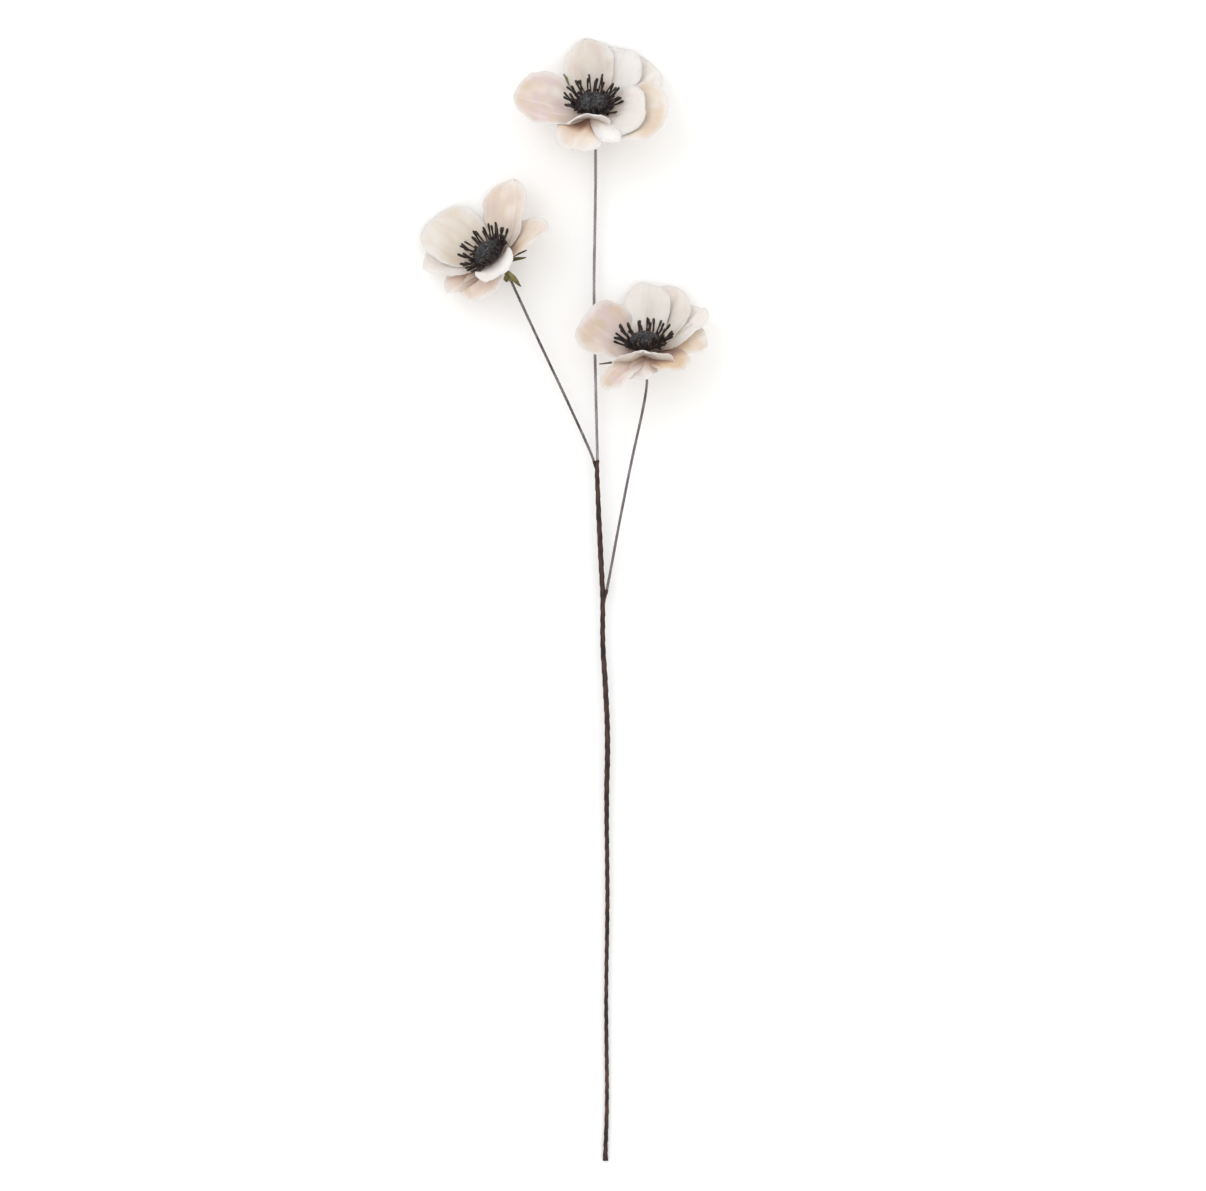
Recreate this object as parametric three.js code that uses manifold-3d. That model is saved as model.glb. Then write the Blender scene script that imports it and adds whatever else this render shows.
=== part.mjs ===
// A spray of three cream anemone blooms on one branched stem, lying on a flat surface.
// Units are millimetres. +Z is up from the surface, +Y runs along the stem from its cut end to the blooms.
// The origin is on the surface, at the middle of the spray's footprint.
// Each bloom has cloth petals, a ring of stamens, a dark dome, a green calyx behind the petals and a leafy
// green collar lower on its wire. Three coated wires carry the blooms and run into the taped main stem.
import * as THREE from "three";
import { mergeVertices } from "three/addons/utils/BufferGeometryUtils.js";
import Module from "manifold-3d";

const wasm = await Module();
wasm.setup();

// Driving dimensions
const PETAL_THICKNESS = 0.7;
const HUB_RADIUS = 5.0; // the disc that the petals are gathered on
const HUB_TOP = 0.6; // above the bloom's centre, along its axis
const HUB_BOTTOM = -2.0;
const GAP = 0.3; // between a piece and the one it sits on
const STAMENS = 30;
const WIRE_RADIUS = 0.9; // the left and right branch wires
const TOP_WIRE_RADIUS = 0.95;
const SLEEVE_WALL = 0.8; // the calyx, round its wire

// The blooms. Tilt is how far a bloom's axis leans from straight up, and lean is the way it leans,
// anticlockwise from +X. A petal's turn is measured about the axis from that way, anticlockwise as well.
// Rise is a petal's climb in degrees at its root, middle and tip, and lay is its layer at the hub.
const BLOOMS = {
  top: {
    centre: [19.6, 325.2, 18.3],
    tilt: 40,
    lean: 91,
    petals: [
      { turn: 3, long: 50, wide: 33, rise: [5, 31, 22], cup: 22, lay: 1 },
      { turn: -27, long: 49, wide: 40, rise: [4, 28, 22], cup: 18, lay: 0 },
      { turn: -54, long: 52, wide: 41, rise: [0, 21, 18], cup: 16, lay: -1 },
      { turn: -114, long: 53, wide: 47, rise: [5, 20, 22], cup: 26, twist: 24, lay: -0.5 },
      { turn: -118, long: 39, wide: 40, rise: [8, 25, 25], cup: 20, twist: 28, lay: 0.5 },
      { turn: 163, long: 41, wide: 35, rise: [2, 14, -14], cup: 26, lay: -1 },
      { turn: 194, long: 41, wide: 21, rise: [2, 19, 0], cup: -14, wave: 0.5, lay: 1.2 },
      { turn: 88, long: 51, wide: 46, rise: [4, 22, 16], cup: 24, twist: -10, lay: 0 },
      { turn: 162, long: 22, wide: 34, rise: [-18, 58, 44], cup: -46, twist: 24, wave: 0.5, lay: 1 },
    ],
    guard: 168,
  },
  left: {
    centre: [-47.2, 226.5, 21.3],
    tilt: 50,
    lean: 132,
    petals: [
      { turn: 18, long: 52, wide: 43, rise: [8, 38, 34], cup: 24, wave: 0.1, lay: 1 },
      { turn: -61, long: 53, wide: 40, rise: [4, 30, 22], cup: 22, lay: 0 },
      { turn: -113, long: 44, wide: 26, rise: [0, 14, 4], cup: 24, lay: -1 },
      { turn: 45, long: 48, wide: 32, rise: [4, 26, 20], cup: 20, lay: 0 },
      { turn: 79, long: 36, wide: 26, rise: [-2, 12, 2], cup: 16, lay: -1 },
      { turn: 131, long: 32, wide: 36, rise: [-2, 6, -12], cup: 22, lay: -1 },
      { turn: 174, long: 29, wide: 32, rise: [4, 18, 6], cup: 48, lay: 1 },
    ],
    guard: 182,
  },
  right: {
    centre: [53.6, 165.8, 28.5],
    tilt: 58,
    lean: 94,
    petals: [
      { turn: 70, long: 45, wide: 50, rise: [5, 33, 42], cup: 20, twist: -26, lay: 1 },
      { turn: -7, long: 51, wide: 32, rise: [10, 38, 38], cup: 14, wave: 0.4, lay: 0.5 },
      { turn: -28, long: 52, wide: 38, rise: [6, 34, 34], cup: 16, wave: 0.5, lay: 0 },
      { turn: -57, long: 49, wide: 37, rise: [2, 26, 22], cup: 20, lay: -0.5 },
      { turn: -85, long: 41, wide: 26, rise: [-2, 14, 12], cup: 20, twist: 32, lay: -1 },
      { turn: -137, long: 34, wide: 28, rise: [-2, 4, -8], cup: 20, lay: -1 },
      { turn: 148, long: 50, wide: 21, rise: [-4, 2, -10], cup: 20, lay: -1 },
      { turn: 167, long: 29, wide: 24, rise: [-5, -10, -20], cup: -20, lay: 0 },
      { turn: 176, long: 24, wide: 42, rise: [-30, 52, 42], cup: -24, wave: 0.5, lay: 0 },
    ],
    guard: 178,
  },
};

// Each branch wire as a line from behind its bloom to the main stem.
const WIRES = {
  top: [
    [19.6, 323.7, 16.5],
    [19.8, 321.6, 13.6],
    [20.1, 315.5, 9.3],
    [20.7, 307.1, 7.4],
    [21.3, 297.0, 7.0],
    [21.0, 253.5, 6.8],
    [20.3, 206.7, 6.8],
    [21.6, 133.2, 7.4],
    [22.6, 93.0, 8.0],
  ],
  left: [
    [-46.0, 225.2, 19.8],
    [-44.0, 223.1, 17.1],
    [-42.2, 221.2, 14.2],
    [-38.4, 217.9, 12.3],
    [-35.0, 212.0, 11.2],
    [-31.9, 205.3, 10.7],
    [-15.8, 170.6, 9.6],
    [4.3, 128.0, 8.6],
    [18.3, 97.0, 8.1],
    [20.0, 92.3, 8.1],
  ],
  right: [
    [53.8, 163.9, 27.3],
    [54.4, 159.0, 24.2],
    [55.4, 150.2, 20.2],
    [55.2, 141.3, 18.3],
    [53.1, 128.0, 17.0],
    [44.9, 90.0, 13.7],
    [37.0, 50.0, 10.3],
    [30.5, 14.7, 7.2],
    [28.95, 6.9, 6.95],
  ],
};

// The calyxes: each a sleeve between two places on its wire, counted in the points above, with narrow
// leaves. A leaf's climb is towards the bloom, or back along the wire where it is negative.
const CALYXES = {
  top: {
    from: 0.5,
    to: 2.0,
    leaves: [
      { at: 1.0, turn: 33, climb: 12, long: 31, wide: 4.0, curl: 0 },
      { at: 1.0, turn: -60, climb: -10, long: 18, wide: 4.5, curl: -6 },
      { at: 1.2, turn: -130, climb: -24, long: 16, wide: 4.5, curl: -12 },
      { at: 1.0, turn: 100, climb: -14, long: 22, wide: 4.5, curl: -10 },
      { at: 1.4, turn: 160, climb: -34, long: 14, wide: 4.5, curl: -14 },
    ],
  },
  left: {
    from: 0.5,
    to: 4.0,
    leaves: [
      { at: 1.0, turn: -123, climb: -13, long: 18.5, wide: 3.0, curl: 0 },
      { at: 1.0, turn: -103, climb: -15, long: 20, wide: 3.0, curl: 0 },
      { at: 1.0, turn: 30, climb: 4, long: 15, wide: 4.0, curl: -6 },
      { at: 3.1, turn: -155, climb: -82, long: 13, wide: 3.4, curl: 10 },
      { at: 3.3, turn: 130, climb: -62, long: 5, wide: 4.0, curl: 20 },
    ],
  },
  right: {
    from: 0.5,
    to: 2.0,
    leaves: [
      { at: 1.0, turn: 90, climb: 0, long: 29, wide: 3.0, curl: 0 },
      { at: 1.0, turn: 40, climb: -14, long: 18, wide: 4.5, curl: -10 },
      { at: 1.2, turn: -30, climb: -20, long: 16, wide: 4.5, curl: -10 },
      { at: 1.0, turn: -85, climb: -6, long: 18, wide: 4.5, curl: -6 },
      { at: 1.4, turn: 175, climb: -20, long: 9, wide: 4.5, curl: -14 },
    ],
  },
};

// The main stem from its cut end to the fork: x, y, z and the radius there.
const STEM = [
  [27.8, -375.0, 1.75, 1.85],
  [27.9, -370.0, 1.8, 1.45],
  [28.9, -334.8, 2.2, 1.3],
  [28.4, -267.9, 3.1, 1.3],
  [29.2, -201.1, 4.0, 1.4],
  [28.7, -134.2, 4.9, 1.6],
  [29.3, -94.1, 5.4, 1.85],
  [28.4, -67.4, 5.8, 1.75],
  [26.1, -27.3, 6.4, 1.65],
  [26.1, -0.5, 6.8, 1.7],
  [23.9, 46.3, 7.4, 1.7],
  [22.3, 87.7, 8.0, 1.5],
  [22.6, 92.7, 8.0, 1.15],
];
// The short taped ends that hold the other two wires.
const LEFT_STUB = [
  [22.3, 85.0, 8.0, 1.1],
  [21.3, 89.2, 8.0, 1.1],
  [20.13, 92.0, 8.1, 1.0],
];
const RIGHT_STUB = [
  [26.1, -3.0, 6.8, 1.2],
  [27.9, 3.0, 6.85, 1.2],
  [28.9, 6.6, 6.93, 1.0],
];

const rad = THREE.MathUtils.degToRad;
const smooth = THREE.MathUtils.smoothstep;

// A bloom's own frame: x the way it leans, z along its axis.
function bloomFrame({ centre, tilt, lean }) {
  const [t, l] = [rad(tilt), rad(lean)];
  const far = new THREE.Vector3(Math.cos(t) * Math.cos(l), Math.cos(t) * Math.sin(l), -Math.sin(t));
  const axis = new THREE.Vector3(Math.sin(t) * Math.cos(l), Math.sin(t) * Math.sin(l), Math.cos(t));
  return new THREE.Matrix4().makeBasis(far, axis.clone().cross(far), axis).setPosition(...centre);
}

// Solids
function solid(geometry) {
  const bare = geometry.index ? geometry.toNonIndexed() : geometry.clone();
  bare.deleteAttribute("normal");
  bare.deleteAttribute("uv");
  const merged = mergeVertices(bare, 1e-4);
  return new wasm.Manifold(
    new wasm.Mesh({
      numProp: 3,
      vertProperties: merged.attributes.position.array,
      triVerts: new Uint32Array(merged.index.array),
    }),
  );
}

function geometryOf(made) {
  const mesh = made.getMesh();
  const points = new Float32Array(mesh.numVert * 3);
  for (let i = 0; i < mesh.numVert; i++) {
    points.set(mesh.vertProperties.subarray(i * mesh.numProp, i * mesh.numProp + 3), i * 3);
  }
  return new THREE.BufferGeometry()
    .setAttribute("position", new THREE.BufferAttribute(points, 3))
    .setIndex(new THREE.BufferAttribute(mesh.triVerts, 1));
}

// Shells that cross become one solid, with no pockets shut inside it.
function joined(geometries) {
  const made = geometries.map(solid).reduce((a, b) => a.add(b));
  return wasm.Manifold.union(made.decompose().filter((shell) => shell.volume() > 0));
}

// Whatever would reach below the surface is pressed flat on it.
const rested = (made) => made.trimByPlane([0, 0, 1], 0);

// A closed sheet about a grid of points. Both faces are split into triangles alike.
function blade(rows, columns, pointAt, thickness) {
  const middle = [];
  for (let i = 0; i <= rows; i++) {
    for (let j = 0; j <= columns; j++) middle.push(pointAt(i, j));
  }
  const clamp = THREE.MathUtils.clamp;
  const at = (i, j) => middle[clamp(i, 0, rows) * (columns + 1) + clamp(j, 0, columns)];
  const points = [];
  for (const half of [thickness / 2, -thickness / 2]) {
    for (let i = 0; i <= rows; i++) {
      for (let j = 0; j <= columns; j++) {
        const along = at(i + 1, j).clone().sub(at(i - 1, j));
        const across = at(i, j + 1).clone().sub(at(i, j - 1));
        const normal = along.cross(across).normalize();
        points.push(...at(i, j).clone().addScaledVector(normal, half));
      }
    }
  }
  const count = (rows + 1) * (columns + 1);
  const index = [];
  const quad = (a, b, c, d) => index.push(a, b, c, a, c, d);
  for (let i = 0; i < rows; i++) {
    for (let j = 0; j < columns; j++) {
      const [a, b] = [i * (columns + 1) + j, (i + 1) * (columns + 1) + j];
      quad(a, b, b + 1, a + 1);
      index.push(count + a, count + b + 1, count + b, count + a, count + a + 1, count + b + 1);
    }
  }
  for (let j = 0; j < columns; j++) {
    const last = rows * (columns + 1) + j;
    quad(j, j + 1, count + j + 1, count + j);
    quad(last + 1, last, count + last, count + last + 1);
  }
  for (let i = 0; i < rows; i++) {
    const [a, b] = [i * (columns + 1), (i + 1) * (columns + 1)];
    quad(b, a, count + a, count + b);
    quad(a + columns, b + columns, count + b + columns, count + a + columns);
  }
  return new THREE.BufferGeometry()
    .setAttribute("position", new THREE.BufferAttribute(new Float32Array(points), 3))
    .setIndex(index);
}

// A smooth line through points. A place on it is counted in points from its start.
function lineThrough(points) {
  const places = points.map(([x, y, z]) => new THREE.Vector3(x, y, z));
  const curve = new THREE.CatmullRomCurve3(places, false, "centripetal");
  const last = points.length - 1;
  return { at: (k) => curve.getPoint(k / last), along: (k) => curve.getTangent(k / last), last };
}

// A closed round rod or, with a bore, a closed sleeve along a line, in rings at the places given.
function rod(line, places, radiusAt, sides, bore = 0) {
  const points = [];
  const ring = (k, radius) => {
    const along = line.along(k);
    const right = along.clone().cross(new THREE.Vector3(1, 0, 0)).normalize();
    const up = right.clone().cross(along);
    for (let n = 0; n < sides; n++) {
      const a = (2 * Math.PI * n) / sides;
      points.push(
        ...line
          .at(k)
          .addScaledVector(right, radius * Math.cos(a))
          .addScaledVector(up, radius * Math.sin(a)),
      );
    }
  };
  places.forEach((k) => ring(k, radiusAt(k)));
  if (bore) places.toReversed().forEach((k) => ring(k, bore));
  const rings = bore ? places.length * 2 : places.length;
  const index = [];
  for (let i = 0; i < (bore ? rings : rings - 1); i++) {
    for (let n = 0; n < sides; n++) {
      const [a, b] = [i * sides + n, i * sides + ((n + 1) % sides)];
      const [c, d] = [((i + 1) % rings) * sides + n, ((i + 1) % rings) * sides + ((n + 1) % sides)];
      index.push(a, d, b, a, c, d);
    }
  }
  if (!bore) {
    const end = (rings - 1) * sides;
    for (let n = 1; n < sides - 1; n++) {
      index.push(0, n, n + 1);
      index.push(end, end + n + 1, end + n);
    }
  }
  return new THREE.BufferGeometry()
    .setAttribute("position", new THREE.BufferAttribute(new Float32Array(points), 3))
    .setIndex(index);
}

const placesBetween = (from, to, count) =>
  Array.from({ length: count + 1 }, (_, i) => from + ((to - from) * i) / count);

// A rod whose points carry their own radius.
function taperedRod(points, sides, perSpan) {
  const line = lineThrough(points);
  const radiusAt = (k) => {
    const i = Math.min(Math.floor(k), line.last - 1);
    return THREE.MathUtils.lerp(points[i][3], points[i + 1][3], k - i);
  };
  return rod(line, placesBetween(0, line.last, line.last * perSpan), radiusAt, sides);
}

function lathe(profile, sides = 16) {
  const points = profile.map(([r, z]) => new THREE.Vector2(r, z));
  return new THREE.LatheGeometry(points, sides).rotateX(Math.PI / 2);
}

// Petals
const WIDEST = 0.62; // the share of a petal's length where it is widest
const ROOT_SHARE = 0.3; // a petal's width at its root, as a share of its full width
const ROOT_RADIUS = 2.0;
const LAYER_STEP = 1.0; // between layers of petals at the hub
const ROWS = 7;
const COLUMNS = 6;

function halfWidth(petal, s) {
  if (s <= WIDEST) {
    return (petal.wide / 2) * (ROOT_SHARE + (1 - ROOT_SHARE) * Math.sin((Math.PI / 2) * (s / WIDEST)));
  }
  const u = (s - WIDEST) / (1 - WIDEST);
  return (petal.wide / 2) * Math.pow(Math.max(0, 1 - Math.pow(u, 2.2)), 1 / 2.2);
}

function riseAt(petal, s) {
  const [root, middle, tip] = petal.rise;
  return rad(root + (middle - root) * smooth(s, 0.1, 0.45) + (tip - middle) * smooth(s, 0.5, 1));
}

// How far out and how high the middle line of a petal is.
function midline(petal, s) {
  const steps = 24;
  let out = ROOT_RADIUS;
  let up = petal.lay * LAYER_STEP - 0.7;
  for (let k = 0; k < steps; k++) {
    const angle = riseAt(petal, (s * (k + 0.5)) / steps);
    out += ((petal.long * s) / steps) * Math.cos(angle);
    up += ((petal.long * s) / steps) * Math.sin(angle);
  }
  return [out, up];
}

// A point of a petal: s along it from its root, t across it from -1 to 1.
function petalPoint(petal, s, t) {
  const [out, up] = midline(petal, s);
  const [rise, turn, roll] = [riseAt(petal, s), rad(petal.turn), rad((petal.twist ?? 0) * s)];
  const axis = new THREE.Vector3(0, 0, 1);
  const radial = new THREE.Vector3(Math.cos(turn), Math.sin(turn), 0);
  const across = new THREE.Vector3(-Math.sin(turn), Math.cos(turn), 0);
  const inner = axis.clone().multiplyScalar(Math.cos(rise)).addScaledVector(radial, -Math.sin(rise));
  const side = across.clone().multiplyScalar(Math.cos(roll)).addScaledVector(inner, Math.sin(roll));
  const face = inner.clone().multiplyScalar(Math.cos(roll)).addScaledVector(across, -Math.sin(roll));
  const bend = rad(petal.cup) * smooth(s, 0, 0.5) * (1 - 0.5 * smooth(s, 0.55, 1)) + 1e-3;
  const half = halfWidth(petal, s);
  const [x, y] = [(2 * half * t) / petal.wide, (s - 0.55) / 0.45];
  const edge = smooth(Math.hypot(x, y * smooth(y, -0.4, 0.2)), 0.35, 1);
  const wave = (petal.wave ?? 0.8) * edge * Math.sin(5 * Math.atan2(x, y) + rad(petal.turn * 3));
  return new THREE.Vector3()
    .addScaledVector(radial, out)
    .addScaledVector(axis, up)
    .addScaledVector(side, (half * Math.sin(bend * t)) / bend)
    .addScaledVector(face, (half * (1 - Math.cos(bend * t))) / bend + wave);
}

function petalBlade(petal) {
  const share = (u) =>
    u < 0.55 ? (u / 0.55) * WIDEST : WIDEST + (1 - WIDEST) * Math.sin(((u - 0.55) / 0.45) * rad(82));
  const pointAt = (i, j) => petalPoint(petal, share(i / ROWS), (2 * j) / COLUMNS - 1);
  return blade(ROWS, COLUMNS, pointAt, PETAL_THICKNESS);
}

const petalHub = () =>
  lathe([
    [0, HUB_BOTTOM],
    [HUB_RADIUS * 0.7, HUB_BOTTOM],
    [HUB_RADIUS, -0.4],
    [HUB_RADIUS * 0.9, HUB_TOP],
    [0, HUB_TOP],
  ]);

// The eye: a dark pad, domed, with the stamens standing out from its side.
const EYE_FLOOR = HUB_TOP + GAP + 0.4;
const pad = () =>
  lathe(
    [
      [0, EYE_FLOOR],
      [6.0, EYE_FLOOR + 0.2],
      [9.6, EYE_FLOOR + 1.6],
      [10.2, EYE_FLOOR + 3.4],
      [9.7, EYE_FLOOR + 5.5],
      [7.8, EYE_FLOOR + 7.8],
      [4.8, EYE_FLOOR + 9.3],
      [0, EYE_FLOOR + 9.9],
    ],
    15,
  );

function seeded(seed) {
  let state = seed;
  return () => {
    state = (state * 1103515245 + 12345) % 2147483648;
    return state / 2147483648;
  };
}

function stamen(turn, reach, height) {
  const at = (r, z) => [r * Math.cos(turn), r * Math.sin(turn), z];
  const points = [
    [...at(8.8, 3.4), 0.5],
    [...at(8.8 + (reach - 8.8) * 0.5, 3.4 + (height - 3.4) * 0.56), 0.5],
    [...at(reach, height), 0.66],
  ];
  return taperedRod(points, 3, 1);
}

// Stamens that a raised petal stands against are more upright.
function eye({ guard }, seed) {
  const random = seeded(seed);
  const made = [pad()];
  for (let k = 0; k < STAMENS; k++) {
    const turn = (2 * Math.PI * (k + 0.3 * (random() - 0.5))) / STAMENS;
    const [reach, height] = [
      [19.5, 9.0],
      [18.5, 13.0],
      [14.5, 14.5],
    ][k % 3];
    const stand = smooth((1 + Math.cos(turn - rad(guard))) / 2, 0.75, 0.98);
    const lifted = height + stand * (13 - height) + 2 * random() - 1;
    made.push(stamen(turn, reach - stand * (reach - 12.5) + 2 * (random() - 0.5), lifted));
  }
  return joined(made);
}

// A calyx: a sleeve along the wire with narrow leaves.
function leaf(root, along, face, { long, wide, curl }) {
  const across = face.clone().cross(along);
  const bend = rad(curl) || 1e-3;
  return blade(
    3,
    2,
    (i, j) => {
      const s = i / 3;
      const taper = s < 0.4 ? 0.5 + 0.5 * Math.sin((Math.PI / 2) * (s / 0.4)) : 1 - ((s - 0.4) / 0.6) ** 1.6;
      const half = (wide / 2) * taper + 0.3;
      return root
        .clone()
        .addScaledVector(along, (long * Math.sin(bend * s)) / bend)
        .addScaledVector(face, (long * (1 - Math.cos(bend * s))) / bend + 0.25 * half * Math.abs(j - 1))
        .addScaledVector(across, half * (j - 1));
    },
    0.7,
  );
}

function calyx(bloom, points, { from, to, leaves }, wireRadius) {
  const line = lineThrough(points);
  const far = new THREE.Vector3().setFromMatrixColumn(bloomFrame(bloom), 0);
  const outside = wireRadius + GAP + SLEEVE_WALL;
  const sleeve = rod(line, placesBetween(from, to, 2 * (to - from)), () => outside, 8, wireRadius + GAP);
  const blades = leaves.map(({ at, turn, climb, ...shape }) => {
    const axis = line.along(at).negate();
    const u = far.clone().addScaledVector(axis, -far.dot(axis)).normalize();
    const v = axis.clone().cross(u);
    const [a, c] = [rad(turn), rad(climb)];
    const out = u.multiplyScalar(Math.cos(a)).addScaledVector(v, Math.sin(a));
    const along = out.clone().multiplyScalar(Math.cos(c)).addScaledVector(axis, Math.sin(c));
    const face = axis.multiplyScalar(Math.cos(c)).addScaledVector(out, -Math.sin(c));
    return leaf(line.at(at).addScaledVector(out, outside - 0.3), along, face, shape);
  });
  return joined([sleeve, ...blades]);
}

function wire(points, radius) {
  const line = lineThrough(points);
  return solid(rod(line, placesBetween(0, line.last, 2 * line.last), () => radius, 8));
}

// The spray
const spray = new THREE.Group();

function add(name, made, color, roughness) {
  const mesh = new THREE.Mesh(geometryOf(made), new THREE.MeshStandardMaterial({ color, roughness }));
  mesh.name = name;
  spray.add(mesh);
}

const inBloom = (made, bloom) => made.transform(bloomFrame(bloom).elements);

add("main_stem", rested(joined([STEM, LEFT_STUB, RIGHT_STUB].map((p) => taperedRod(p, 10, 2)))), 0x4a3632, 0.8);

Object.entries(BLOOMS).forEach(([name, bloom], n) => {
  const radius = name === "top" ? TOP_WIRE_RADIUS : WIRE_RADIUS;
  const petals = joined([petalHub(), ...bloom.petals.map(petalBlade)]);
  add(`petals_${name}`, rested(inBloom(petals, bloom)), 0xe8dccd, 0.85);
  add(`eye_${name}`, inBloom(eye(bloom, 7 + n), bloom), 0x2d2725, 0.85);
  add(`calyx_${name}`, rested(calyx(bloom, WIRES[name], CALYXES[name], radius)), 0x847f4c, 0.7);
  add(`branch_${name}`, wire(WIRES[name], radius), 0x726862, 0.6);
});

export default spray;
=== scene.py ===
# The looks of a spray of three cream anemone blooms on one branched stem, lying on a pale floor.
# Sizes are millimetres until a mesh is written, and metres after that. The spray lies on z = 0, with its
# cut end towards -Y. Each bloom has its own frame: x the way it leans, z along its axis.
import math
import random

import bpy
import numpy as np
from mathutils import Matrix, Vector, noise


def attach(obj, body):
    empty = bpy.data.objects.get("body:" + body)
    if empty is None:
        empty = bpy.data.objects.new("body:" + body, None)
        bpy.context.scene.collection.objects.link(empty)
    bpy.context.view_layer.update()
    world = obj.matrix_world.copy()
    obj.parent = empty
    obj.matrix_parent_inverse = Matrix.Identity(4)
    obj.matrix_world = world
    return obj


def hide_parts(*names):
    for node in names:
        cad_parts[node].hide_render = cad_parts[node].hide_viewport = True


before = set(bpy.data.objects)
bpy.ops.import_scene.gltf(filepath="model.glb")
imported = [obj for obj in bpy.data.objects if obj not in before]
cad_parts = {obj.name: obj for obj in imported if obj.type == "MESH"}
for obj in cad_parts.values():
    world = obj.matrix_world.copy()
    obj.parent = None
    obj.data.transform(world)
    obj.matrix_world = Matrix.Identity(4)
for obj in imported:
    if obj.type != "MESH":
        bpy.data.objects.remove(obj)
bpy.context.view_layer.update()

MM = 0.001

# The photograph: its width in pixels, the real size of a pixel at the surface, the pixel at its middle and
# the pixel that shows the origin.
PHOTO_WIDTH = 1206
PIXEL = 0.66845
MIDDLE_PIXEL = (603.0, 595.5)
ORIGIN_PIXEL = (563.7, 599.2)
CAMERA_HEIGHT = 2600.0
SENSOR_WIDTH = 36.0

CLOTH_THICKNESS = 0.45
LYING = 0.3  # how low the middle of a petal's cloth may lie
LYING_BEND = 0.4  # how softly what lies down bends on to the surface
HUB_RADIUS = 5.0  # the disc that the petals are gathered on
HUB_TOP = 0.6
HUB_BOTTOM = -2.0
HUB_ROUNDING = 0.9
EYE_FLOOR = 1.3
EYE_RADIUS = 10.2
EYE_HEIGHT = 9.9
EYE_WAIST = 3.4  # how high above its floor the eye is widest
WIRE_RADIUS = {"top": 0.95, "left": 0.9, "right": 0.9}
PALE_PAINT = {"top": 0.85, "left": 0.1, "right": 0.15}  # how pale each wire's paint is, from 0 to 1
SLEEVE_WALL = 1.1  # how much wider than its wire the calyx's sleeve is
LEAF_THICKNESS = 0.6

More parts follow.
